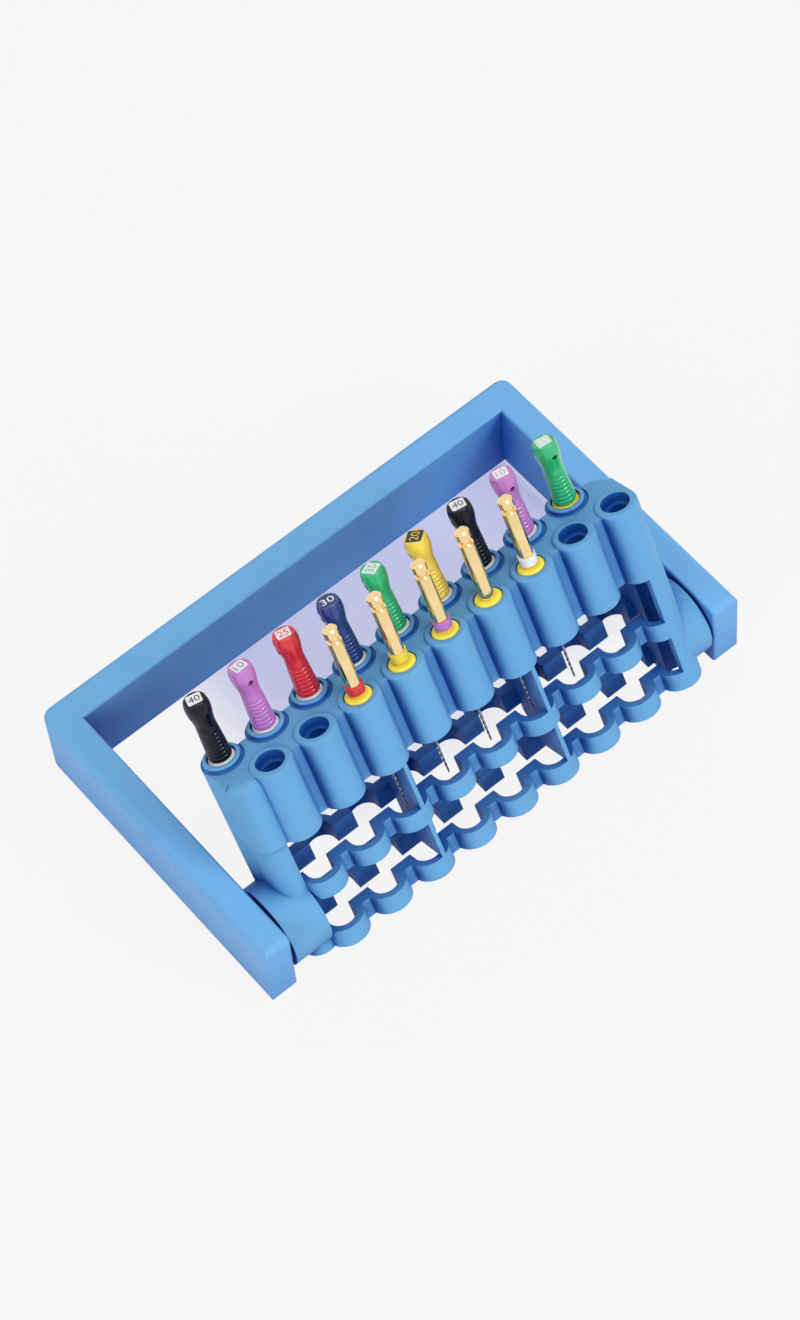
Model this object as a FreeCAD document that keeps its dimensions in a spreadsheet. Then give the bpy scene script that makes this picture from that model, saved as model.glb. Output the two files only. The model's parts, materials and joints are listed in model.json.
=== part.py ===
# Endodontic file dispenser: a hinged rack of eighteen tubes in a U-shaped frame.
# Millimetres. X runs along the rack, Y from the open front to the back bar, Z up.
# The origin is the middle of the back bar's underside.
# The rack and all files are drawn upright about the hinge axis (Y = Z = 0 there)
# and then leaned back together by their Placement.
import FreeCAD, Part
import Sketcher
import math
import os
import re

doc = FreeCAD.newDocument("file_dispenser")

# Driving dimensions

SIZES = [
    ("frame_height", 14.0),
    ("arm_width", 4.75),
    ("bar_width", 5.2),
    ("arm_nose", 6.6),
    ("corner_round", 2.0),
    ("edge_round", 1.2),
    ("inner_round", 0.5),
    ("rest_lean", 23.5),
    ("floor_gap", 0.15),
    ("cheek_gap", 0.3),
    ("cheek_width", 2.5),
    ("side_gap", 0.5),
    ("axle_radius", 1.5),
    ("axle_length", 2.5),
    ("axle_play", 0.05),
    ("socket_room", 0.3),
    ("pitch", 8.2),
    ("row_half", 3.55),
    ("tube_radius", 3.4),
    ("valley_depth", 0.6),
    ("tube_length", 13.1),
    ("upper_window", 8.8),
    ("middle_band", 3.2),
    ("lower_window", 7.1),
    ("bottom_band", 3.3),
    ("band_wall", 1.2),
    ("channel_half", 2.0),
    ("column_side", 0.75),
    ("post_gap", 0.6),
    ("post_wall", 0.8),
    ("post_reach", 1.2),
    ("filler_radius", 3.2),
    ("filler_front", 5.1),
    ("filler_top_round", 1.4),
    ("filler_step", 0.5),
    ("rim_height", 0.35),
    ("rim_round", 0.5),
    ("collar_radius", 2.95),
    ("collar_height", 0.7),
    ("collar_round", 0.35),
    ("groove_radius", 0.28),
    ("seat_radius", 2.3),
    ("seat_depth", 1.7),
    ("guide_radius", 1.6),
    ("heel_gap", 0.1),
    ("stop_radius", 2.2),
    ("stop_height", 1.9),
    ("stop_round", 0.6),
    ("wire_radius", 0.45),
    ("tip_radius", 0.16),
    ("hand_wire_length", 21.0),
    ("rotary_wire_length", 23.0),
    ("flute_length", 16.0),
    ("wire_grip", 4.0),
    ("wire_play", 0.02),
    ("seat_play", 0.05),
    ("handle_length", 11.4),
    ("handle_foot_radius", 1.85),
    ("handle_waist_radius", 1.45),
    ("handle_bulb_radius", 2.1),
    ("handle_top_radius", 1.72),
    ("handle_foot", 0.7),
    ("handle_foot_round", 0.4),
    ("handle_grip", 5.6),
    ("handle_waist", 6.6),
    ("handle_bulb", 9.9),
    ("handle_hole_radius", 0.4),
    ("handle_hole_height", 9.05),
    ("groove_depth", 0.14),
    ("groove_half", 0.2),
    ("shank_radius", 1.175),
    ("shank_length", 13.0),
    ("shank_groove_radius", 0.8),
    ("shank_groove_width", 0.9),
    ("shank_head", 1.5),
    ("shank_flat_length", 4.6),
    ("shank_flat_depth", 0.45),
    ("shank_tip_room", 0.85),
    ("shank_round", 0.2),
    ("ring_height", 1.5),
    ("ring_wall", 0.22),
    ("ring_lift", 0.5),
]

sheet = doc.addObject("Spreadsheet::Sheet", "Sizes")
for row, (alias, value) in enumerate(SIZES, start=1):
    sheet.set(f"A{row}", alias)
    sheet.set(f"B{row}", str(value))
    sheet.setAlias(f"B{row}", alias)
doc.recompute()

NAMES = {alias for alias, _ in SIZES}
SITES = 9
POST_SITES = (2, 5)
HAND_FILE_SITES = range(SITES)
ROTARY_FILE_SITES = range(2, 7)
RINGLESS_ROTARY_SITE = 5
HANDLE_GROOVES = 7
FORWARD_HOLE_SITES = (1, 7, 8)


def size(text):
    """Turn bare size names into references to the sheet."""
    return re.sub("[a-z_]+", lambda word: ("Sizes." if word[0] in NAMES else "") + word[0], text)


def value(text):
    """Present value of an expression in the sheet's sizes."""
    return float(sheet.evalExpression(size(text)))


def bind(obj, **links):
    for name, text in links.items():
        obj.setExpression(name, size(text))


def place(obj, x="0", y="0", z="0"):
    for axis, text in zip("xyz", (x, y, z)):
        obj.setExpression(f"Placement.Base.{axis}", size(text))


# Heights and places that follow from the driving dimensions

PIVOT = "(row_half + tube_radius + floor_gap)"
HEEL = "(row_half + tube_radius + floor_gap - heel_gap)"
BASE = f"(0 - {HEEL})"
BOTTOM_TOP = f"(bottom_band - {HEEL})"
MIDDLE_BASE = f"(bottom_band + lower_window - {HEEL})"
MIDDLE_TOP = f"(bottom_band + lower_window + middle_band - {HEEL})"
TUBE_BASE = f"(bottom_band + lower_window + middle_band + upper_window - {HEEL})"
DECK = f"({TUBE_BASE} + tube_length)"
RIM_TOP = f"({DECK} + rim_height)"
SEAT_FLOOR = f"({RIM_TOP} - seat_depth)"
STOP_TOP = f"({SEAT_FLOOR} + seat_play + stop_height)"
LAST_SITE = f"{(SITES - 1) / 2 + 0.25} * pitch"
COLUMN = f"({LAST_SITE} - column_side)"
RACK_END = f"({LAST_SITE} + tube_radius)"
CHEEK_END = f"({LAST_SITE} + tube_radius + cheek_width)"
FRAME_INSIDE = f"({LAST_SITE} + tube_radius + cheek_width + side_gap)"
FRAME_OUTSIDE = f"({LAST_SITE} + tube_radius + cheek_width + side_gap + arm_width)"
HINGE_Y = f"(0 - bar_width / 2 - {STOP_TOP} - seat_play - shank_length - shank_tip_room)"
VALLEY = "(row_half + valley_depth)"
POCKET = "(tube_radius - band_wall)"
REACH = "(row_half + 2 * tube_radius)"


def front_site(number):
    return f"({number - (SITES - 1) / 2 + 0.25} * pitch)"


def rear_site(number):
    return f"({number - (SITES - 1) / 2 - 0.25} * pitch)"


# Plain solids

def box(name, x, y, z):
    """Box between two places on each axis, given as pairs."""
    solid = doc.addObject("Part::Box", name)
    place(solid, x[0], y[0], z[0])
    spans = [f"({high}) - ({low})" for low, high in (x, y, z)]
    bind(solid, Length=spans[0], Width=spans[1], Height=spans[2])
    return solid


def upright(name, x, y, z, radius):
    """Upright cylinder between two heights."""
    solid = doc.addObject("Part::Cylinder", name)
    place(solid, x, y, z[0])
    bind(solid, Radius=radius, Height=f"({z[1]}) - ({z[0]})")
    return solid


def crosswise(name, x, radius):
    """Cylinder about the hinge axis between two places along X."""
    solid = doc.addObject("Part::Cylinder", name)
    solid.Placement.Rotation = FreeCAD.Rotation(FreeCAD.Vector(0, 1, 0), 90)
    place(solid, x=x[0])
    bind(solid, Radius=radius, Height=f"({x[1]}) - ({x[0]})")
    return solid


def together(name, solids):
    joined = doc.addObject("Part::MultiFuse", name)
    joined.Shapes = solids
    return joined


def group(name, solids):
    """Solids that stay apart, as one cutting tool."""
    bundle = doc.addObject("Part::Compound", name)
    bundle.Links = solids
    return bundle


def cut(name, base, tool):
    result = doc.addObject("Part::Cut", name)
    result.Base = base
    result.Tool = tool
    return result


# Sketches on a body's own planes

def plane(body, role):
    return next(item for item in body.Origin.OriginFeatures if item.Role == role)


def arc_between(start, end, radius, side):
    """Arc of a circle from start to end; side +1 bulges to the right of the way."""
    middle = (start + end) / 2
    way = end - start
    half = way.Length / 2
    depth = math.sqrt(max(radius * radius - half * half, 0.0))
    normal = FreeCAD.Vector(-way.y, way.x, 0).normalize()
    centre = middle + normal * depth * side
    first, last = (start, end) if side > 0 else (end, start)
    angles = [math.atan2(p.y - centre.y, p.x - centre.x) for p in (first, last)]
    circle = Part.Circle(centre, FreeCAD.Vector(0, 0, 1), radius)
    return Part.ArcOfCircle(circle, angles[0], angles[1])


def outline(body, name, role, corners):
    """Closed sketch through corners (x, y) or (x, y, radius, side) for an arc to the next."""
    sketch = body.newObject("Sketcher::SketchObject", name)
    sketch.AttachmentSupport = (plane(body, role), [""])
    sketch.MapMode = "FlatFace"
    points = [FreeCAD.Vector(value(c[0]), value(c[1]), 0) for c in corners]
    ends = []
    for number, corner in enumerate(corners):
        start, end = points[number], points[(number + 1) % len(points)]
        if len(corner) == 2:
            sketch.addGeometry(Part.LineSegment(start, end))
            ends.append((1, 2))
        else:
            sketch.addGeometry(arc_between(start, end, value(corner[2]), corner[3]))
            ends.append((1, 2) if corner[3] > 0 else (2, 1))
    for number, corner in enumerate(corners):
        before = number - 1 if number else len(corners) - 1
        sketch.addConstraint(
            Sketcher.Constraint("Coincident", before, ends[before][1], number, ends[number][0])
        )
        for kind, text, at in (("DistanceX", corner[0], points[number].x),
                               ("DistanceY", corner[1], points[number].y)):
            index = sketch.addConstraint(
                Sketcher.Constraint(kind, -1, 1, number, ends[number][0], at)
            )
            sketch.setExpression(f"Constraints[{index}]", size(text))
        if len(corner) > 2:
            index = sketch.addConstraint(Sketcher.Constraint("Radius", number, value(corner[2])))
            sketch.setExpression(f"Constraints[{index}]", size(corner[2]))
    return sketch


def revolve(name, corners):
    """Body turned about its own Z axis from half a section."""
    body = doc.addObject("PartDesign::Body", name)
    section = outline(body, name + "_section", "XZ_Plane", corners)
    turned = body.newObject("PartDesign::Revolution", name + "_turned")
    turned.Profile = section
    turned.ReferenceAxis = (section, ["V_Axis"])
    turned.Angle = 360
    return body


def pocket_through(body, name, role, corners, length):
    """Cut a sketched shape out of a body, evenly to both sides of a plane."""
    shape = outline(body, name + "_outline", role, corners)
    pocket = body.newObject("PartDesign::Pocket", name)
    pocket.Profile = shape
    pocket.Midplane = True
    bind(pocket, Length=length)
    return pocket


def circle_pocket(body, name, role, x, y, radius, length):
    """Drill a body evenly to both sides of a plane."""
    sketch = body.newObject("Sketcher::SketchObject", name + "_circle")
    sketch.AttachmentSupport = (plane(body, role), [""])
    sketch.MapMode = "FlatFace"
    centre = FreeCAD.Vector(value(x), value(y), 0)
    sketch.addGeometry(Part.Circle(centre, FreeCAD.Vector(0, 0, 1), value(radius)))
    for kind, text, at in (("DistanceX", x, centre.x), ("DistanceY", y, centre.y)):
        if at:
            index = sketch.addConstraint(Sketcher.Constraint(kind, -1, 1, 0, 3, at))
            sketch.setExpression(f"Constraints[{index}]", size(text))
        else:
            axis = -2 if kind == "DistanceX" else -1
            sketch.addConstraint(Sketcher.Constraint("PointOnObject", 0, 3, axis))
    index = sketch.addConstraint(Sketcher.Constraint("Radius", 0, value(radius)))
    sketch.setExpression(f"Constraints[{index}]", size(radius))
    pocket = body.newObject("PartDesign::Pocket", name)
    pocket.Profile = sketch
    pocket.Midplane = True
    bind(pocket, Length=length)
    return pocket


def round_edges(body, name, base, radius, wanted):
    """Fillet the edges of a body's last feature that pass a test."""
    doc.recompute()
    edges = [
        f"Edge{number}"
        for number, edge in enumerate(base.Shape.Edges, start=1)
        if wanted(edge.BoundBox)
    ]
    fillet = body.newObject("PartDesign::Fillet", name)
    fillet.Base = (base, edges)
    bind(fillet, Radius=radius)
    return fillet


def lean(obj, x="0", forward="0", up="0"):
    """Place a solid of the rack: x, distance behind the hinge, height over it."""
    obj.Placement.Rotation = FreeCAD.Rotation(FreeCAD.Vector(1, 0, 0), -value("rest_lean"))
    bind(obj, **{"Placement.Rotation.Angle": "0 - rest_lean"})
    place(
        obj,
        x,
        f"{HINGE_Y} + {forward} * cos(rest_lean) + {up} * sin(rest_lean)",
        f"{PIVOT} - {forward} * sin(rest_lean) + {up} * cos(rest_lean)",
    )


# Frame: back bar and two arms in one moulding

def make_frame():
    body = doc.addObject("PartDesign::Body", "frame")
    front = f"({HINGE_Y} - arm_nose)"
    inner = "(0 - bar_width / 2)"
    back = "(bar_width / 2)"
    plan = outline(body, "frame_plan", "XY_Plane", [
        (f"0 - {FRAME_OUTSIDE}", front),
        (f"0 - {FRAME_INSIDE}", front),
        (f"0 - {FRAME_INSIDE}", inner),
        (FRAME_INSIDE, inner),
        (FRAME_INSIDE, front),
        (FRAME_OUTSIDE, front),
        (FRAME_OUTSIDE, back),
        (f"0 - {FRAME_OUTSIDE}", back),
    ])
    pad = body.newObject("PartDesign::Pad", "frame_height_pad")
    pad.Profile = plan
    bind(pad, Length="frame_height")
    sockets = circle_pocket(
        body, "pivot_sockets", "YZ_Plane", HINGE_Y, PIVOT,
        "(axle_radius + axle_play)",
        f"2 * ({CHEEK_END} + axle_length + socket_room)",
    )
    outside = value(FRAME_OUTSIDE)
    inside = value(FRAME_INSIDE)
    height = value("frame_height")
    rear = value(back)
    nose = value(front)

    def at(value_, target):
        return abs(value_ - target) < 0.01

    corners = round_edges(
        body, "rear_corners", sockets, "corner_round",
        lambda b: at(b.YMin, rear) and at(b.YMax, rear) and b.ZLength > height / 2
        and b.XLength < 0.01,
    )
    outer = round_edges(
        body, "outer_edges", corners, "edge_round",
        lambda b: at(b.ZMin, height) and at(b.ZMax, height)
        and (at(b.YMax, rear) or at(b.YMin, nose) and at(b.YMax, nose)
             or max(abs(b.XMin), abs(b.XMax)) > outside - 0.01),
    )
    round_edges(
        body, "inner_edges", outer, "inner_round",
        lambda b: at(b.ZMin, height) and at(b.ZMax, height)
        and max(abs(b.XMin), abs(b.XMax)) < inside + 0.01 and b.YMax < rear,
    )
    return body


# Rack: eighteen tubes, deck, two wavy bands, columns, posts and pivot cheeks

def make_rack():
    solids = [
        box("core", (f"0 - {LAST_SITE}", LAST_SITE), (f"0 - {VALLEY}", VALLEY), (BASE, DECK)),
    ]
    rims = []
    collars = []
    fillers = []
    for site in range(SITES):
        number = site + 1
        rims.append(upright(f"front_tube_{number}", front_site(site), "0 - row_half",
                            (BASE, RIM_TOP), "tube_radius"))
        solids.append(upright(f"rear_tube_{number}", rear_site(site), "row_half",
                              (BASE, DECK), "tube_radius"))
        collars.append(upright(f"collar_{number}", rear_site(site), "row_half",
                               (SEAT_FLOOR, f"({DECK} + collar_height)"),
                               "collar_radius"))
    # The two ends are the same turned by half a turn about the rack's middle.
    for end, sign in (("left", -1), ("right", 1)):
        filler_x = f"{sign} * ({RACK_END} - filler_radius)"
        filler_y = f"{sign} * (filler_front - filler_radius)"
        fillers.append(upright(f"{end}_filler", filler_x, filler_y,
                               (TUBE_BASE, DECK), "filler_radius"))
        solids.append(upright(f"{end}_column", filler_x, filler_y,
                              (BASE, TUBE_BASE), "(filler_radius - filler_step)"))
        near = f"{sign} * {COLUMN}"
        far = f"{sign} * {RACK_END}"
        recessed = f"{sign} * ({RACK_END} - filler_step)"
        across = f"0 - {sign} * row_half"
        for name, side, levels in ((f"{end}_wall", far, (TUBE_BASE, DECK)),
                                   (f"{end}_lower_wall", recessed, (BASE, TUBE_BASE))):
            x = (side, near) if sign < 0 else (near, side)
            y = (filler_y, across) if sign < 0 else (across, filler_y)
            solids.append(box(name, x, y, levels))
        cheek = f"{sign} * {CHEEK_END}"
        axle = f"{sign} * ({CHEEK_END} + axle_length)"
        solids.append(crosswise(f"{end}_cheek", (cheek, near) if sign < 0 else (near, cheek),
                                f"({PIVOT} - cheek_gap)"))
        solids.append(crosswise(f"{end}_axle", (axle, far) if sign < 0 else (far, axle),
                                "axle_radius"))
    solids += round_tops(rims, "rim_round")
    solids += round_tops(collars, "collar_round")
    solids += round_tops(fillers, "filler_top_round")
    moulding = together("moulding", solids)

    above = f"({DECK} + collar_height + 1)"
    below = f"({BASE} - 1)"
    seats = []
    guides = []
    pockets = []
    slots = []
    grooves = []
    rows = (("front", front_site, "0 - row_half", "0 - row_half", "0 - channel_half / 2"),
            ("rear", rear_site, "row_half", "channel_half / 2", "row_half"))
    for row_name, place_of, middle, slot_from, slot_to in rows:
        for site in range(SITES):
            number = site + 1
            x = place_of(site)
            seats.append(upright(f"{row_name}_seat_{number}", x, middle,
                                 (SEAT_FLOOR, above), "seat_radius"))
            guides.append(upright(f"{row_name}_guide_{number}", x, middle,
                                  (f"({TUBE_BASE} - 1)", above), "guide_radius"))
            pockets.append(upright(f"{row_name}_pocket_{number}", x, middle,
                                   (below, TUBE_BASE), POCKET))
            if stands_free(row_name, site):
                slots.append(box(f"{row_name}_slot_{number}",
                                 (f"{x} - {POCKET}", f"{x} + {POCKET}"),
                                 (slot_from, slot_to), (below, TUBE_BASE)))
    for site in range(SITES):
        groove = doc.addObject("Part::Torus", f"collar_groove_{site + 1}")
        place(groove, rear_site(site), "row_half", DECK)
        bind(groove, Radius1="collar_radius + groove_radius * 0.8", Radius2="groove_radius")
        grooves.append(groove)

    shape = moulding
    walls = group("posts", posts())
    for name, tools in (("seats", seats), ("grooves", grooves)):
        shape = cut("without_" + name, shape, group(name, tools))
    for name, tools in (("guides", guides), ("pockets", pockets), ("slots", slots),
                        ("channel", channel(below)), ("windows", windows())):
        hollow = cut(name + "_round_posts", group(name, tools), walls)
        shape = cut("without_" + name, shape, hollow)
    heel_block = box("heel_block", (f"0 - {CHEEK_END} - 1", f"{CHEEK_END} + 1"),
                     ("channel_half / 2", REACH), (below, "0"))
    heel_round = crosswise("heel_round", (f"0 - {CHEEK_END} - 2", f"{CHEEK_END} + 2"), HEEL)
    rack = cut("rack", shape, cut("heel", heel_block, heel_round))
    lean(rack)
    return rack


def stands_free(row_name, site):
    """Whether a bore opens into the channel instead of standing in an end column."""
    return site > 0 if row_name == "rear" else site < SITES - 1


def posts():
    """Thin walls beside two tubes of each row, from the outside to past the middle."""
    walls = []
    heights = (BOTTOM_TOP, TUBE_BASE)
    for site in POST_SITES:
        x = front_site(site)
        walls.append(box(f"front_post_{site + 1}",
                         (f"{x} + post_gap", f"{x} + post_gap + post_wall"),
                         (f"0 - {REACH}", "post_reach"), heights))
        opposite = SITES - 1 - site
        x = rear_site(opposite)
        walls.append(box(f"rear_post_{opposite + 1}",
                         (f"{x} - post_gap - post_wall", f"{x} - post_gap"),
                         ("0 - post_reach", REACH), heights))
    return walls


def channel(below):
    """Gap between the two rows of bores, under the tubes."""
    return [box("channel_box", (f"0 - {COLUMN}", COLUMN), ("0 - channel_half", "channel_half"),
                (below, TUBE_BASE))]


def windows():
    """Openings through the rack over each band, between the end columns."""
    return [
        box(level, (f"0 - {COLUMN}", COLUMN), (f"0 - {REACH}", REACH), heights)
        for level, heights in (("upper_window", (MIDDLE_TOP, TUBE_BASE)),
                               ("lower_window", (BOTTOM_TOP, MIDDLE_BASE)))
    ]


def round_tops(cylinders, radius):
    """Round the upper edge of each cylinder."""
    doc.recompute()
    rounded = []
    for cylinder in cylinders:
        top = cylinder.Shape.BoundBox.ZMax
        edges = [
            number
            for number, edge in enumerate(cylinder.Shape.Edges, start=1)
            if edge.BoundBox.ZMin > top - 0.001
        ]
        fillet = doc.addObject("Part::Fillet", cylinder.Name + "_rounded")
        fillet.Base = cylinder
        fillet.Edges = [(number, value(radius), value(radius)) for number in edges]
        rounded.append(fillet)
    return rounded


# Files

WIRE_HOLE = "(wire_radius + wire_play)"


def swell(rise, widen):
    """Radius of an arc that is upright at one end and spans the rise and the widening."""
    return f"(({rise} * {rise} + {widen} * {widen}) / (2 * {widen}))"


def grip_radius(height):
    """Radius of the tapering grip at a height."""
    return ("(handle_foot_radius - (handle_foot_radius - handle_waist_radius)"
            f" * ({height} - handle_foot) / (handle_waist - handle_foot))")


def make_handle(name, hole_plane):
    """Hand file handle, turned: foot, ringed taper, waist, bulb and flat top."""
    foot_round = "handle_foot_round"
    section = [
        (WIRE_HOLE, "0"),
        (f"(handle_foot_radius - {foot_round})", "0", foot_round, 1),
        ("handle_foot_radius", foot_round),
        ("handle_foot_radius", "handle_foot"),
    ]
    for ring in range(HANDLE_GROOVES):
        share = (ring + 0.5) / HANDLE_GROOVES
        middle = f"(handle_foot + (handle_grip - handle_foot) * {share})"
        low = f"({middle} - groove_half)"
        high = f"({middle} + groove_half)"
        section.append((grip_radius(low), low))
        section.append((f"({grip_radius(middle)} - groove_depth)", middle))
        section.append((grip_radius(high), high))
    widen = "((handle_bulb_radius - handle_waist_radius) / 2)"
    half_rise = "((handle_bulb - handle_waist) / 2)"
    close = "(handle_bulb_radius - handle_top_radius)"
    crown = "(handle_length - handle_bulb)"
    section += [
        ("handle_waist_radius", "handle_waist", swell(half_rise, widen), -1),
        (f"(handle_waist_radius + {widen})", f"(handle_waist + {half_rise})",
         swell(half_rise, widen), 1),
        ("handle_bulb_radius", "handle_bulb", swell(crown, close), 1),
        ("handle_top_radius", "handle_length"),
        ("0", "handle_length"),
        ("0", "wire_grip"),
        (WIRE_HOLE, "wire_grip"),
    ]
    body = revolve(name, section)
    circle_pocket(body, name + "_hole", hole_plane, "0", "handle_hole_height",
                  "handle_hole_radius", "4 * handle_bulb_radius")
    return body


def make_wire(name, length):
    """Wire with its tapered fluted length, tip down."""
    return revolve(name, [
        ("0", f"0 - {length}"),
        ("tip_radius", f"0 - {length}"),
        ("wire_radius", f"flute_length - {length}"),
        ("wire_radius", "wire_grip - wire_play"),
        ("0", "wire_grip - wire_play"),
    ])


def make_stop(name):
    """Silicone ring."""
    return revolve(name, [
        (WIRE_HOLE, "0"),
        ("stop_radius - stop_round", "0", "stop_round", 1),
        ("stop_radius", "stop_round"),
        ("stop_radius", "stop_height - stop_round", "stop_round", 1),
        ("stop_radius - stop_round", "stop_height"),
        (WIRE_HOLE, "stop_height"),
    ])


def make_shank(name):
    """Latch shank with its groove, head and flat."""
    groove_top = "(shank_length - shank_head)"
    groove_base = "(shank_length - shank_head - shank_groove_width)"
    body = revolve(name, [
        (WIRE_HOLE, "0"),
        ("shank_radius", "0"),
        ("shank_radius", groove_base),
        ("shank_groove_radius", groove_base),
        ("shank_groove_radius", groove_top),
        ("shank_radius", groove_top),
        ("shank_radius", "shank_length - shank_round"),
        ("shank_radius - shank_round", "shank_length"),
        ("0", "shank_length"),
        ("0", "wire_grip"),
        (WIRE_HOLE, "wire_grip"),
    ])
    pocket_through(body, name + "_flat", "YZ_Plane", [
        ("shank_radius - shank_flat_depth", "shank_length - shank_flat_length"),
        ("2 * shank_radius", "shank_length - shank_flat_length"),
        ("2 * shank_radius", "shank_length + 1"),
        ("shank_radius - shank_flat_depth", "shank_length + 1"),
    ], "4 * shank_radius")
    return body


def make_ring(name):
    """Coloured size ring round the shank's foot."""
    return revolve(name, [
        ("shank_radius + wire_play", "0"),
        ("shank_radius + ring_wall", "0"),
        ("shank_radius + ring_wall", "ring_height"),
        ("shank_radius + wire_play", "ring_height"),
    ])


def make_files():
    pieces = []
    foot = f"({STOP_TOP} + seat_play)"
    stop_foot = f"({SEAT_FLOOR} + seat_play)"
    for site in HAND_FILE_SITES:
        name = f"hand_file_{site + 1}"
        hole_plane = "XZ_Plane" if site in FORWARD_HOLE_SITES else "YZ_Plane"
        for body, up in ((make_handle(name + "_handle", hole_plane), foot),
                         (make_wire(name + "_blade", "hand_wire_length"), foot),
                         (make_stop(name + "_stop"), stop_foot)):
            lean(body, rear_site(site), "row_half", up)
            pieces.append(body)
    for site in ROTARY_FILE_SITES:
        name = f"rotary_file_{site + 1}"
        bodies = [(make_shank(name + "_shank"), foot),
                  (make_wire(name + "_blade", "rotary_wire_length"), foot),
                  (make_stop(name + "_stop"), stop_foot)]
        if site != RINGLESS_ROTARY_SITE:
            bodies.append((make_ring(name + "_ring"), f"({foot} + ring_lift)"))
        for body, up in bodies:
            lean(body, front_site(site), "(0 - row_half)", up)
            pieces.append(body)
    return {body.Name: body for body in pieces}


nodes = {"frame": make_frame(), "rack": make_rack()}
nodes.update(make_files())
doc.recompute()

for obj in doc.Objects:
    if "Invalid" in obj.State or "Error" in obj.State:
        raise RuntimeError(f"{obj.Name} is {obj.State}")

os.makedirs("parts", exist_ok=True)
for name, obj in nodes.items():
    obj.Label = name
    if obj.Shape.isNull() or not obj.Shape.isValid():
        raise RuntimeError(f"{name} has no valid shape")
    obj.Shape.exportStep(f"parts/{name}.step")
print(f"{len(nodes)} parts written")
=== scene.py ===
import json
import math

import bmesh
import bpy
from mathutils import Matrix, Vector


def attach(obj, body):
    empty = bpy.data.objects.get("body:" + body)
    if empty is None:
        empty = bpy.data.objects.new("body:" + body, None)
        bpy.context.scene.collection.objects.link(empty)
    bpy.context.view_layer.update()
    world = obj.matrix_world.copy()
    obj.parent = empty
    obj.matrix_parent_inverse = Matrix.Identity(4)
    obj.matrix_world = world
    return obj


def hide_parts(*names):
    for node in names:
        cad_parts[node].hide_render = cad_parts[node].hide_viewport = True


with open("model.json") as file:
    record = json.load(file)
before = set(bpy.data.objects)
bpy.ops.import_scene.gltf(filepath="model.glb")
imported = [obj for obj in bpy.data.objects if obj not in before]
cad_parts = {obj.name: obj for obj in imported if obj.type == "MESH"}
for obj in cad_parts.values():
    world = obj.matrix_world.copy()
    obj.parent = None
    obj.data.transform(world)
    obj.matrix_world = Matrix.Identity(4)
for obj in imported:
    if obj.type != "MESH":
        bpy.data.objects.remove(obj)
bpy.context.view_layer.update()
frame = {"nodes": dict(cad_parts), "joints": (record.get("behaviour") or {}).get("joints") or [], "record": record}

MM = 0.001
HAND_FILES = range(1, 10)
ROTARY_FILES = range(3, 8)
FORWARD_HOLES = (2, 8, 9)

# The rack's own axes: X, then depth from the front row to the rear row, then height over the hinge.

HINGE = next(joint for joint in frame["joints"] if joint["name"] == "rack_tilt")
LEAN = math.radians(-HINGE["range_deg"][0])
RACK = Matrix.Translation(Vector(HINGE["pos_m"])) @ Matrix.Rotation(-LEAN, 4, "X")


def extent(node):
    """Lowest and highest corner of a node along the rack's own axes."""
    places = [RACK.inverted() @ v.co for v in frame["nodes"][node].data.vertices]
    low = Vector(min(p[axis] for p in places) for axis in range(3))
    high = Vector(max(p[axis] for p in places) for axis in range(3))
    return low, high


def file_axis(node, height):
    """Matrix that stands on the axis of a file's piece at a height over the hinge."""
    low, high = extent(node)
    middle = (low + high) / 2
    return RACK @ Matrix.Translation(Vector((middle.x, middle.y, height)))


# Node trees

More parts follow.
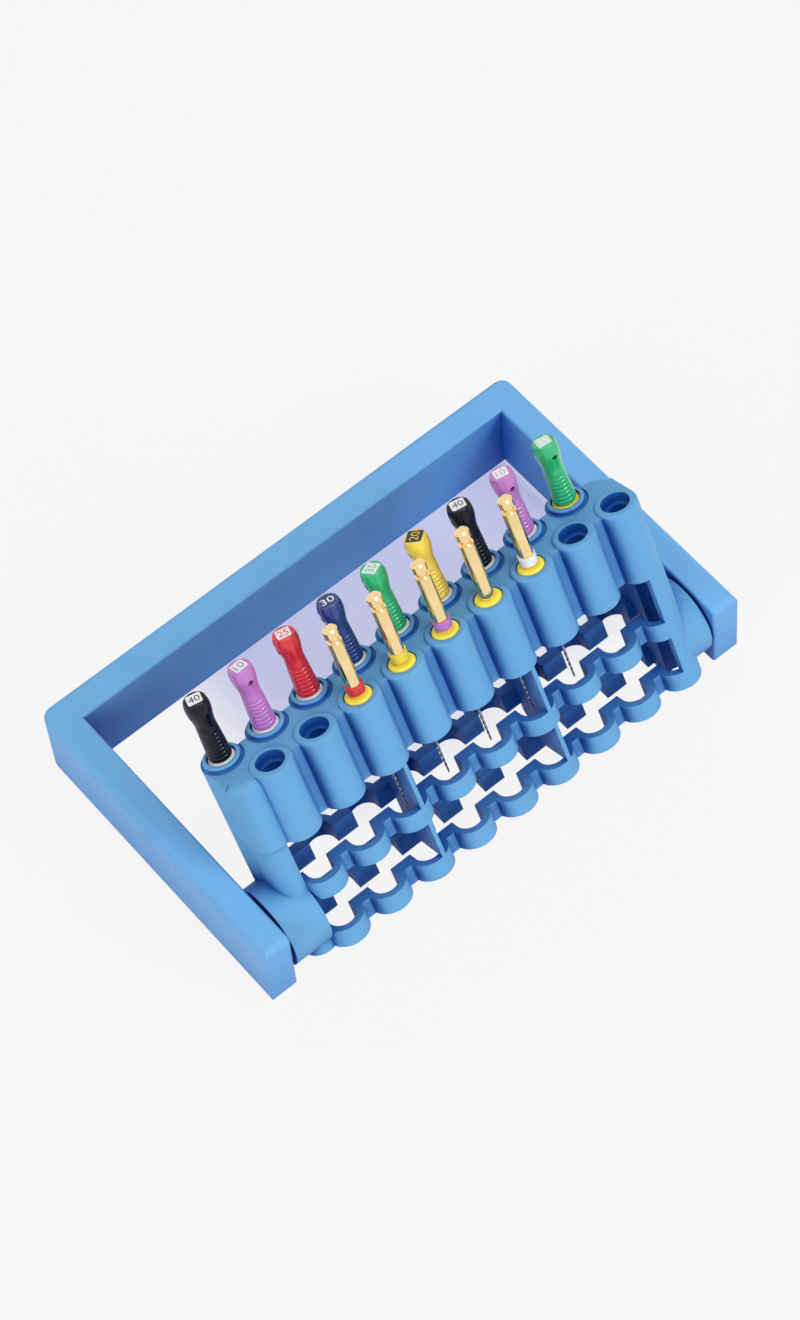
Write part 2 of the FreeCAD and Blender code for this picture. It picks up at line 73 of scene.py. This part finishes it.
class Tree:
    """A material's node tree with short calls for what the materials share."""

    def __init__(self, name):
        self.material = bpy.data.materials.new(name)
        self.material.use_nodes = True
        self.nodes = self.material.node_tree.nodes
        self.links = self.material.node_tree.links
        self.shader = next(n for n in self.nodes if n.type == "BSDF_PRINCIPLED")
        self.place = self.nodes.new("ShaderNodeTexCoord").outputs["Object"]

    def set(self, **values):
        for name, value in values.items():
            self.shader.inputs[name.replace("_", " ")].default_value = value

    def link(self, output, target):
        self.links.new(output, self.shader.inputs[target])

    def noise(self, scale, detail=3.0, roughness=0.5, stretch=(1, 1, 1)):
        mapping = self.nodes.new("ShaderNodeMapping")
        mapping.inputs["Scale"].default_value = stretch
        self.links.new(self.place, mapping.inputs["Vector"])
        texture = self.nodes.new("ShaderNodeTexNoise")
        texture.inputs["Scale"].default_value = scale
        texture.inputs["Detail"].default_value = detail
        texture.inputs["Roughness"].default_value = roughness
        self.links.new(mapping.outputs["Vector"], texture.inputs["Vector"])
        return texture.outputs["Fac"]

    def span(self, factor, low, high, start=0.3, stop=0.7):
        """Map a factor to a range of numbers."""
        node = self.nodes.new("ShaderNodeMapRange")
        for name, value in (("From Min", start), ("From Max", stop), ("To Min", low), ("To Max", high)):
            node.inputs[name].default_value = value
        self.links.new(factor, node.inputs["Value"])
        return node.outputs["Result"]

    def mix(self, factor, first, second):
        """Mix two colours, each a tuple or an output."""
        node = self.nodes.new("ShaderNodeMix")
        node.data_type = "RGBA"
        sockets = [s for s in node.inputs if s.type == "RGBA"]
        for socket, colour in zip(sockets, (first, second)):
            if isinstance(colour, tuple):
                socket.default_value = colour
            else:
                self.links.new(colour, socket)
        self.links.new(factor, node.inputs["Factor"])
        return next(s for s in node.outputs if s.type == "RGBA")

    def bump(self, height, distance, strength, below=None):
        node = self.nodes.new("ShaderNodeBump")
        node.inputs["Strength"].default_value = strength
        node.inputs["Distance"].default_value = distance
        self.links.new(height, node.inputs["Height"])
        if below is not None:
            self.links.new(below, node.inputs["Normal"])
        return node.outputs["Normal"]

    def openness(self, reach, own=True):
        """One in the open, less where the piece's own walls, or any, stand within reach."""
        node = self.nodes.new("ShaderNodeAmbientOcclusion")
        node.samples = 8
        node.only_local = own
        node.inputs["Distance"].default_value = reach
        return node.outputs["AO"]

    def rounded(self, radius):
        """Normals of softened edges."""
        node = self.nodes.new("ShaderNodeBevel")
        node.samples = 6
        node.inputs["Radius"].default_value = radius
        return node.outputs["Normal"]


def srgb(red, green, blue):
    """Linear colour of an eight-bit screen colour."""
    channels = []
    for value in (red / 255, green / 255, blue / 255):
        channels.append(value / 12.92 if value <= 0.04045 else ((value + 0.055) / 1.055) ** 2.4)
    return (*channels, 1.0)


def moulded(name, colour, deep, painted_shade_colour):
    """Matt translucent moulded plastic: fine eroded grain, faint flow marks, and painted shade: colour deepened to
    a dark saturated blue in hollows and near other parts and the floor, by ambient occlusion.
    """
    tree = Tree(name)
    flow = tree.noise(45.0, 4.0, 0.55, (1.0, 0.6, 0.35))
    mottle = tree.noise(320.0, 3.0, 0.6)
    open_colour = tree.mix(tree.span(flow, 0.0, 1.0), colour, deep)
    # Painted shade: the colour goes towards the deep blue shade colour wherever ambient occlusion finds the
    # piece's own walls within 16 and 5.5 mm, or any part or the floor within 35 mm.
    broad_shade = tree.span(tree.openness(0.016), 1.0, 0.0, 0.20, 0.90)
    near_shade = tree.span(tree.openness(0.0055), 0.8, 0.0, 0.28, 0.88)
    room = tree.span(tree.openness(0.035, False), 0.95, 0.0, 0.20, 0.66)
    colours = tree.mix(room, tree.mix(near_shade, tree.mix(broad_shade, open_colour, painted_shade_colour), painted_shade_colour), painted_shade_colour)
    tree.link(tree.mix(tree.span(mottle, 0.0, 0.10), colours, deep), "Base Color")
    tree.link(tree.span(mottle, 0.42, 0.54), "Roughness")
    grain = tree.noise(2600.0, 2.0, 0.6)
    waves = tree.bump(flow, 0.00006, 0.25, tree.rounded(0.00022))
    tree.link(tree.bump(grain, 0.000012, 0.35, waves), "Normal")
    tree.set(Subsurface_Weight=0.06, Subsurface_Scale=0.0010, Specular_IOR_Level=0.15)
    tree.shader.inputs["Subsurface Radius"].default_value = (0.35, 0.75, 1.0)
    return tree.material


def glossy(name, colour, deep, shine=0.5):
    """Glossy pigmented plastic of the file handles."""
    tree = Tree(name)
    cloud = tree.noise(260.0, 3.0, 0.5)
    tree.link(tree.mix(tree.span(cloud, 0.0, 1.0), colour, deep), "Base Color")
    tree.link(tree.span(tree.noise(1500.0), 0.17, 0.27), "Roughness")
    tree.link(tree.bump(cloud, 0.00002, 0.15, tree.rounded(0.0001)), "Normal")
    tree.set(Subsurface_Weight=0.25, Subsurface_Scale=0.0009, Specular_IOR_Level=shine, Coat_Weight=shine,
             Coat_Roughness=0.12)
    return tree.material


def printed(name, colour, deep):
    """Thin glossy print with a little wear."""
    tree = Tree(name)
    wear = tree.noise(2400.0, 3.0, 0.6)
    tree.link(tree.mix(tree.span(wear, 0.0, 1.0), colour, deep), "Base Color")
    tree.link(tree.span(wear, 0.22, 0.36), "Roughness")
    tree.link(tree.bump(wear, 0.000006, 0.3), "Normal")
    return tree.material


def silicone(name, colour, deep):
    """Soft silicone with a faint bloom."""
    tree = Tree(name)
    bloom = tree.noise(900.0, 4.0, 0.6)
    tree.link(tree.mix(tree.span(bloom, 0.0, 1.0), colour, deep), "Base Color")
    tree.link(tree.span(bloom, 0.36, 0.52), "Roughness")
    tree.link(tree.bump(tree.noise(2600.0), 0.00001, 0.3, tree.rounded(0.0001)), "Normal")
    tree.set(Subsurface_Weight=0.25, Subsurface_Scale=0.0009)
    return tree.material


def metal(name, colour, deep, rough, turned_lines):
    """Bright metal with fine marks of turning or grinding round its axis."""
    tree = Tree(name)
    tone = tree.noise(220.0, 3.0, 0.5)
    tree.link(tree.mix(tree.span(tone, 0.0, 1.0), colour, deep), "Base Color")
    lines = tree.noise(turned_lines, 2.0, 0.5, (0.12, 0.12, 1.0))
    tree.link(tree.span(lines, rough * 0.8, rough * 1.4), "Roughness")
    tree.link(tree.bump(lines, 0.000002, 0.2), "Normal")
    tree.set(Metallic=1.0)
    return tree.material


MATERIALS = {
    # The blue moulding's last colour is painted shade, laid into hollows and near other parts and the floor.
    "plastic": moulded("blue_moulding", srgb(116, 177, 226), srgb(108, 170, 222), srgb(2, 76, 176)),
    "steel": metal("ground_steel", srgb(205, 207, 210), srgb(190, 193, 198), 0.26, 5000.0),
    "nickel_titanium": metal("nickel_titanium", srgb(168, 170, 178), srgb(146, 149, 158), 0.14, 5000.0),
    "gilt": metal("gilt", srgb(252, 226, 170), srgb(247, 214, 150), 0.09, 7000.0),
    "handle_black": glossy("black_plastic", srgb(11, 9, 26), srgb(8, 6, 19), 0.2),
    "handle_violet": glossy("violet_plastic", srgb(192, 122, 198), srgb(182, 110, 190)),
    "handle_red": glossy("red_plastic", srgb(212, 30, 46), srgb(200, 22, 38)),
    "handle_navy": glossy("navy_plastic", srgb(22, 54, 134), srgb(16, 44, 118)),
    "handle_green": glossy("green_plastic", srgb(34, 184, 118), srgb(24, 170, 104)),
    "handle_yellow": glossy("yellow_plastic", srgb(248, 216, 84), srgb(242, 204, 66)),
    "stop_white": silicone("white_silicone", srgb(248, 247, 248), srgb(238, 236, 236)),
    "stop_yellow": silicone("yellow_silicone", srgb(248, 232, 92), srgb(240, 218, 68)),
    "ring_red": glossy("red_ring", srgb(220, 32, 40), srgb(206, 24, 34)),
    "ring_yellow": glossy("yellow_ring", srgb(246, 216, 56), srgb(238, 204, 44)),
    "ring_violet": glossy("violet_ring", srgb(190, 116, 202), srgb(178, 104, 192)),
    "ring_white": glossy("white_ring", srgb(242, 242, 244), srgb(230, 230, 234)),
}

# The rack's last colour is painted shade, laid into hollows and near other parts and the floor.
RACK_PLASTIC = moulded("blue_rack_moulding", srgb(106, 168, 213), srgb(98, 160, 208), srgb(4, 76, 166))


def dress_nodes():
    slots = {row["node"]: row["material_slot"] for row in frame["record"]["subparts"]}
    for name, node in frame["nodes"].items():
        node.data.materials.clear()
        node.data.materials.append(RACK_PLASTIC if name == "rack" else MATERIALS[slots[name]])
    return slots


# Finer pieces that take the place of the turned solids

AROUND = 56
SHARP = math.radians(32)


def circle(mesh, radius, height, around=AROUND, flat=None):
    """Ring of points in millimetres; flat caps their depth."""
    points = []
    for k in range(around):
        angle = 2 * math.pi * k / around
        x, y = radius * math.cos(angle), radius * math.sin(angle)
        if flat is not None:
            y = min(y, flat)
        points.append(mesh.verts.new((x * MM, y * MM, height * MM)))
    return points


def skin(mesh, rings):
    """Join rings into a closed skin with a fan at each end."""
    for lower, upper in zip(rings, rings[1:]):
        for k in range(len(lower)):
            n = (k + 1) % len(lower)
            mesh.faces.new((lower[k], lower[n], upper[n], upper[k]))
    mesh.faces.new(list(reversed(rings[0])))
    mesh.faces.new(rings[-1])


def place(name, data, node, slot, height):
    """Put a finished mesh on the axis of the node that it stands for."""
    for polygon in data.polygons:
        polygon.use_smooth = True
    data.set_sharp_from_angle(angle=SHARP)
    data.materials.clear()
    data.materials.append(MATERIALS[slot])
    piece = bpy.data.objects.new(name, data)
    bpy.context.scene.collection.objects.link(piece)
    piece.matrix_world = file_axis(node, height)
    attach(piece, "rack")
    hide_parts(node)


def finished(mesh, name):
    mesh.normal_update()
    data = bpy.data.meshes.new(name)
    mesh.to_mesh(data)
    mesh.free()
    return data


FLUTES = 16.0


def blade(name, node, slot, sides, twists, waist):
    """Wire with a twisted fluted length that tapers to the tip."""
    low, high = extent(node)
    radius = (high.x - low.x) / 2 / MM
    length = (high.z - low.z) / MM
    tip = 0.16
    around = 24
    along = 150
    fading = 0.06
    tightening = 0.85
    run_out = 0.2
    mesh = bmesh.new()
    rings = []
    for step in range(along + 1):
        share = step / along
        reach = tip + (radius - tip) * share
        fade = min(1.0, (1.0 - share) / fading)
        turn = 2 * math.pi * twists * share ** tightening
        ring = []
        for k in range(around):
            angle = 2 * math.pi * k / around
            r = reach * (1.0 - fade * waist * (0.5 - 0.5 * math.cos(sides * (angle - turn))))
            ring.append(mesh.verts.new((r * math.cos(angle) * MM, r * math.sin(angle) * MM,
                                        share * FLUTES * MM)))
        rings.append(ring)
    rings.append(circle(mesh, radius, FLUTES + run_out, around))
    rings.append(circle(mesh, radius, length, around))
    skin(mesh, rings)
    place(name, finished(mesh, name), node, slot, low.z)


def ripple(height, start, stop, count, depth):
    """Depth of evenly spaced soft grooves at a height."""
    step = (stop - start) / count
    if not start < height < stop:
        return 0.0
    off = ((height - start) / step) % 1.0 - 0.5
    return depth * (0.5 + 0.5 * math.cos(2 * math.pi * off)) ** 2


def handle_section():
    """Radii and heights of a hand file's handle: foot, ringed taper, waist, bulb, flat top."""
    foot, waist, bulb, top = 1.85, 1.58, 1.96, 1.70
    foot_round, edge_round = 0.4, 0.14
    taper_start, taper_length, taper_steps = 0.7, 5.9, 88
    rings, rings_end, ring_depth = 7, 5.6, 0.08
    waist_height, swell, swell_steps = 6.6, 3.3, 24
    bulb_height, crown_rise, crown_reach, crown_steps = 9.9, 1.36, 1.5, 12
    edge_height = 11.26
    quarter = math.pi / 2
    section = [(foot - foot_round + foot_round * math.sin(a), foot_round - foot_round * math.cos(a))
               for a in (quarter * k / 6 for k in range(7))]
    for k in range(taper_steps + 1):
        height = taper_start + taper_length * k / taper_steps
        radius = foot - (foot - waist) * (height - taper_start) / taper_length
        section.append((radius - ripple(height, taper_start, rings_end, rings, ring_depth), height))
    for k in range(1, swell_steps + 1):
        share = k / swell_steps
        section.append((waist + (bulb - waist) * (0.5 - 0.5 * math.cos(math.pi * share)),
                        waist_height + swell * share))
    crown = (crown_reach ** 2 + (bulb - top) ** 2) / (2 * (bulb - top))
    for k in range(1, crown_steps + 1):
        rise = crown_rise * k / crown_steps
        section.append((bulb - crown + math.sqrt(crown ** 2 - rise ** 2), bulb_height + rise))
    edge = section[-1][0]
    for k in range(1, 6):
        a = quarter * k / 5
        section.append((edge - edge_round + edge_round * math.cos(a), edge_height + edge_round * math.sin(a)))
    return section


def handle(name, node, slot, forward_hole):
    """Turned handle with its cross hole."""
    hole_radius, hole_height, drill_half = 0.45, 9.05, 3.0
    low = extent(node)[0]
    mesh = bmesh.new()
    skin(mesh, [circle(mesh, radius, height) for radius, height in handle_section()])
    body = bpy.data.objects.new(name + "_body", finished(mesh, name + "_body"))
    drill = bmesh.new()
    skin(drill, [circle(drill, hole_radius, height, 24) for height in (-drill_half, drill_half)])
    axis = "X" if forward_hole else "Y"
    bmesh.ops.rotate(drill, verts=drill.verts, cent=(0, 0, 0), matrix=Matrix.Rotation(math.pi / 2, 3, axis))
    bmesh.ops.translate(drill, verts=drill.verts, vec=(0, 0, hole_height * MM))
    tool = bpy.data.objects.new(name + "_drill", finished(drill, name + "_drill"))
    for item in (body, tool):
        bpy.context.scene.collection.objects.link(item)
    cut = body.modifiers.new("hole", "BOOLEAN")
    cut.operation = "DIFFERENCE"
    cut.solver = "EXACT"
    cut.object = tool
    ready = body.evaluated_get(bpy.context.evaluated_depsgraph_get())
    data = bpy.data.meshes.new_from_object(ready)
    for item in (body, tool):
        bpy.data.objects.remove(item)
    place(name, data, node, slot, low.z)


def shank(name, node, slot):
    """Turned latch shank with its groove, head and flat."""
    low, high = extent(node)
    radius, neck, flat = 1.175, 0.8, 0.725
    head_length, groove_length, flat_length = 1.5, 0.9, 4.6
    foot_bevel, bevel, fillet = 0.08, 0.05, 0.06
    rim = ((0.0, 0.24), (0.05, 0.19), (0.2, 0.03), (0.24, 0.0))
    length = (high.z - low.z) / MM
    head = length - head_length
    groove = head - groove_length
    flat_from = length - flat_length
    section = [(radius - foot_bevel, 0.0), (radius, foot_bevel)]
    section += [(radius, foot_bevel + (flat_from - foot_bevel) * k / 8) for k in range(1, 9)]
    rows = [(r, h, None) for r, h in section]
    rows += [(radius, flat_from, flat), (radius, groove - bevel, flat), (radius - bevel, groove, flat),
             (neck + fillet, groove, flat), (neck, groove + fillet, flat), (neck, head - fillet, flat),
             (neck + fillet, head, flat), (radius - bevel, head, flat), (radius, head + bevel, flat)]
    rows += [(radius - inward, length - down, flat) for inward, down in rim]
    mesh = bmesh.new()
    skin(mesh, [circle(mesh, r, h, 64, cap) for r, h, cap in rows])
    place(name, finished(mesh, name), node, slot, low.z)


# Printed panels on the flat tops of the hand files: side, width of the number, turn in degrees,
# number, panel, ink

PANELS = {
    1: (2.3, 1.75, -17, "40", (244, 246, 250), (20, 20, 26)),
    2: (2.2, 1.6, 6, "10", (240, 238, 246), (138, 128, 168)),
    3: (2.2, 1.6, -17, "25", (250, 234, 234), (206, 60, 66)),
    4: (2.3, 2.1, -10, "30", (24, 44, 110), (240, 242, 248)),
    5: (2.3, 1.6, 29, "35", (226, 246, 238), (150, 172, 166)),
    6: (2.5, 1.9, 41, "20", (24, 22, 18), (226, 198, 70)),
    7: (2.3, 1.7, -17, "40", (240, 242, 248), (60, 62, 80)),
    8: (2.2, 1.5, -17, "10", (246, 242, 250), (186, 182, 204)),
    9: (2.3, 1.6, -12, "35", (206, 238, 224), (244, 248, 246)),
}


def on_top(name, data, node, turn, height, material):
    """Lay a thin piece on a handle's flat top."""
    top = extent(node)[1].z
    data.materials.clear()
    data.materials.append(material)
    piece = bpy.data.objects.new(name, data)
    bpy.context.scene.collection.objects.link(piece)
    piece.matrix_world = file_axis(node, top + height * MM) @ Matrix.Rotation(math.radians(turn), 4, "Z")
    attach(piece, "rack")


def panel(number, node):
    """Rounded panel with its number, laid on the flat top of a hand file."""
    side, width, turn, text, paper, ink = PANELS[number]
    shade = tuple(max(0, c - 12) for c in paper)
    half, corner, thick, lift, digit_height = side / 2, 0.3, 0.03, 0.012, 1.4
    mesh = bmesh.new()
    rings = []
    for height in (0.0, thick):
        ring = []
        for quarter in range(4):
            for k in range(5):
                a = math.pi / 2 * (quarter + k / 4)
                cx = (half - corner) * (1 if quarter in (0, 3) else -1)
                cy = (half - corner) * (1 if quarter in (0, 1) else -1)
                ring.append(mesh.verts.new(((cx + corner * math.cos(a)) * MM,
                                            (cy + corner * math.sin(a)) * MM, height * MM)))
        rings.append(ring)
    skin(mesh, rings)
    name = f"hand_file_{number}_panel"
    on_top(name, finished(mesh, name), node, turn, 0.0,
           printed(name, srgb(*paper), srgb(*shade)))
    curve = bpy.data.curves.new(f"digits_{number}", "FONT")
    curve.body = text
    curve.size = 2.0 * MM
    curve.resolution_u = 4
    letters = bpy.data.objects.new(f"digits_{number}", curve)
    bpy.context.scene.collection.objects.link(letters)
    data = bpy.data.meshes.new_from_object(letters.evaluated_get(bpy.context.evaluated_depsgraph_get()))
    bpy.data.objects.remove(letters)
    xs = [v.co.x for v in data.vertices]
    ys = [v.co.y for v in data.vertices]
    for vertex in data.vertices:
        vertex.co.x = ((vertex.co.x - min(xs)) / (max(xs) - min(xs)) - 0.5) * width * MM
        vertex.co.y = ((vertex.co.y - min(ys)) / (max(ys) - min(ys)) - 0.5) * digit_height * MM
    name = f"hand_file_{number}_digits"
    on_top(name, data, node, turn, thick + lift,
           printed(name, srgb(*ink), srgb(*(min(255, c + 8) for c in ink))))


# Camera: the photograph's, worked out from the frame's edges and the hole row

TARGET = Vector((-2.09, -30.89, 22.57)) * MM
DISTANCE = 629.3 * MM
AZIMUTH = math.radians(-33.7)
ELEVATION = math.radians(59.6)
ROLL = math.radians(-6.9)
LENS = 115.6


def make_camera():
    back = Vector((
        math.sin(AZIMUTH) * math.cos(ELEVATION),
        -math.cos(AZIMUTH) * math.cos(ELEVATION),
        math.sin(ELEVATION),
    ))
    level = Vector((math.cos(AZIMUTH), math.sin(AZIMUTH), 0))
    above = back.cross(level)
    right = level * math.cos(ROLL) + above * math.sin(ROLL)
    up = above * math.cos(ROLL) - level * math.sin(ROLL)
    data = bpy.data.cameras.new("camera")
    data.lens = LENS
    data.clip_end = 10.0
    camera = bpy.data.objects.new("camera", data)
    stand = Matrix((right, up, back)).transposed().to_4x4()
    stand.translation = TARGET + back * DISTANCE
    camera.matrix_world = stand
    bpy.context.scene.collection.objects.link(camera)
    bpy.context.scene.camera = camera


# Floor, world and lamps

PALE = srgb(247, 247, 247)
# Colour of the painted shadow that the floor glows with inside the frame
PAINTED_SHADOW_LAVENDER = srgb(184, 184, 228)
GLOW_OUTSIDE, GLOW_INSIDE = 0.95, 0.60

# Where the floor's tint inside the frame, a painted lavender shadow, begins and ends, in metres

TINT_FRONT = (-0.040, -0.012)
TINT_BACK = (0.0015, 0.0035)
TINT_SIDES = (0.040, 0.043)
TINT_LEFT = (-0.026, -0.012)

# Lamps: name, azimuth and elevation in degrees, size in metres, power in watts

LAMPS = (
    ("key", 28, 30, 0.40, 4.8),
    ("fill", -84, 24, 0.50, 4.4),
    ("top", 30, 76, 0.50, 5.6),
    ("back", 165, 40, 0.60, 1.8),
)
LAMP_DISTANCE = 1.2


def seen_directly(nodes, links):
    """One for what the camera sees straight, in metal or through clear plastic."""
    path = nodes.new("ShaderNodeLightPath")
    total = path.outputs["Is Camera Ray"]
    for name in ("Is Glossy Ray", "Is Transmission Ray"):
        add = nodes.new("ShaderNodeMath")
        add.operation = "MAXIMUM"
        links.new(total, add.inputs[0])
        links.new(path.outputs[name], add.inputs[1])
        total = add.outputs[0]
    return total


def product(nodes, links, first, second):
    node = nodes.new("ShaderNodeMath")
    node.operation = "MULTIPLY"
    links.new(first, node.inputs[0])
    links.new(second, node.inputs[1])
    return node.outputs[0]


def make_floor():
    """Pale floor; inside the frame it has a painted lavender shadow, laid on by place, and shows more of its own
    shading.
    """
    bpy.ops.mesh.primitive_plane_add(size=4.0, location=(0, 0, 0))
    floor = bpy.context.object
    floor.name = "floor"
    tree = Tree("floor_paper")
    tree.set(Roughness=0.9, Specular_IOR_Level=0.1)
    nodes, links = tree.nodes, tree.links
    split = nodes.new("ShaderNodeSeparateXYZ")
    links.new(tree.place, split.inputs[0])
    depth = tree.span(split.outputs["Y"], 0.0, 1.0, *TINT_FRONT)
    behind = tree.span(split.outputs["Y"], 1.0, 0.0, *TINT_BACK)
    across = nodes.new("ShaderNodeMath")
    across.operation = "ABSOLUTE"
    links.new(split.outputs["X"], across.inputs[0])
    beside = tree.span(across.outputs[0], 1.0, 0.0, *TINT_SIDES)
    inside = product(nodes, links, product(nodes, links, depth, behind), beside)
    direct = seen_directly(nodes, links)
    inside = product(nodes, links, inside, tree.span(split.outputs["X"], 0.0, 1.0, *TINT_LEFT))
    tree.link(tree.mix(tree.noise(60.0), srgb(238, 237, 246), srgb(240, 239, 248)), "Base Color")
    pale_share = tree.span(inside, GLOW_OUTSIDE, GLOW_INSIDE, 0.0, 1.0)
    glow = nodes.new("ShaderNodeEmission")
    # Painted shadow: inside the frame the floor's glow turns lavender.
    links.new(tree.mix(inside, PALE, PAINTED_SHADOW_LAVENDER), glow.inputs["Color"])
    blend = nodes.new("ShaderNodeMixShader")
    links.new(product(nodes, links, direct, pale_share), blend.inputs["Fac"])
    links.new(tree.shader.outputs[0], blend.inputs[1])
    links.new(glow.outputs[0], blend.inputs[2])
    output = next(n for n in nodes if n.type == "OUTPUT_MATERIAL")
    links.new(blend.outputs[0], output.inputs["Surface"])
    floor.data.materials.append(tree.material)


def make_lamp(name, azimuth, elevation, size, power):
    data = bpy.data.lights.new(name, "AREA")
    data.shape = "DISK"
    data.size = size
    data.energy = power
    lamp = bpy.data.objects.new(name, data)
    a, e = math.radians(azimuth), math.radians(elevation)
    way = Vector((math.sin(a) * math.cos(e), -math.cos(a) * math.cos(e), math.sin(e)))
    lamp.location = TARGET + way * LAMP_DISTANCE
    lamp.rotation_euler = way.to_track_quat("Z", "Y").to_euler()
    bpy.context.scene.collection.objects.link(lamp)


def make_world():
    """Pale backdrop, in metal and clear plastic too; other light is a little stronger from the front."""
    world = bpy.data.worlds.new("studio")
    bpy.context.scene.world = world
    world.use_nodes = True
    nodes, links = world.node_tree.nodes, world.node_tree.links
    shade = nodes["Background"]
    shade.inputs["Color"].default_value = PALE
    direction = nodes.new("ShaderNodeTexCoord")
    split = nodes.new("ShaderNodeSeparateXYZ")
    links.new(direction.outputs["Generated"], split.inputs[0])

    def span(source, low, high, start, stop):
        node = nodes.new("ShaderNodeMapRange")
        node.interpolation_type = "SMOOTHSTEP"
        for name, number in (("From Min", start), ("From Max", stop), ("To Min", low), ("To Max", high)):
            node.inputs[name].default_value = number
        links.new(source, node.inputs["Value"])
        return node.outputs["Result"]

    room = span(split.outputs["Y"], 0.44, 0.32, -0.5, 0.6)
    path = nodes.new("ShaderNodeLightPath")

    def choose(ray, yes, no):
        node = nodes.new("ShaderNodeMix")
        node.data_type = "FLOAT"
        links.new(path.outputs[ray], node.inputs["Factor"])
        for socket, number in ((node.inputs["A"], no), (node.inputs["B"], yes)):
            if isinstance(number, float):
                socket.default_value = number
            else:
                links.new(number, socket)
        return node.outputs["Result"]

    strength = choose("Is Glossy Ray", 1.0, room)
    strength = choose("Is Transmission Ray", 1.0, strength)
    links.new(choose("Is Camera Ray", 1.0, strength), shade.inputs["Strength"])


def make_light():
    make_world()
    for lamp in LAMPS:
        make_lamp(*lamp)


SLOTS = dress_nodes()
for number in HAND_FILES:
    blade(f"hand_file_{number}_twisted_wire", f"hand_file_{number}_blade", "steel", 3, 9.0, 0.42)
    handle_node = f"hand_file_{number}_handle"
    handle(f"hand_file_{number}_grip", handle_node, SLOTS[handle_node], number in FORWARD_HOLES)
    panel(number, handle_node)
for number in ROTARY_FILES:
    blade(f"rotary_file_{number}_fluted_wire", f"rotary_file_{number}_blade",
          "nickel_titanium", 2, 7.0, 0.48)
    shank(f"rotary_file_{number}_turned_shank", f"rotary_file_{number}_shank", "gilt")
make_camera()
make_floor()
make_light()
bpy.context.scene.view_settings.view_transform = "Standard"
